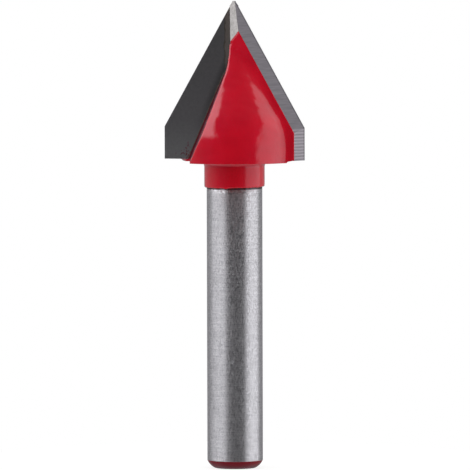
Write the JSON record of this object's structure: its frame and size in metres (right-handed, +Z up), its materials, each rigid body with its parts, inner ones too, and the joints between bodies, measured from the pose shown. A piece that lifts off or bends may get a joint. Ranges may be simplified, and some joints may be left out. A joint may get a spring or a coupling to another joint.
{
  "type": "v groove router bit",
  "caption": "Straight-shank router bit with a steel head and brazed carbide plates, ground to cut a V groove.",
  "frame": {"origin": "centre of the shank's flat end", "axes": "+Z up the axis to the cutting point, with the two rake faces in the plane Y = 0 and the edges on the -X and +X sides"},
  "size_m": [0.016, 0.013, 0.0504],
  "materials": {
    "painted_steel": "glossy red enamel dipped over the head, the neck and the end bevel, with the shank left as ground steel",
    "ground_carbide": "fine-ground tungsten carbide",
    "silver_braze": "dull silver braze"
  },
  "bodies": {
    "root": {"body": "painted_steel", "carbide_tip_1": "ground_carbide", "carbide_tip_2": "ground_carbide", "braze_1": "silver_braze", "braze_2": "silver_braze"}
  },
  "joints": []
}
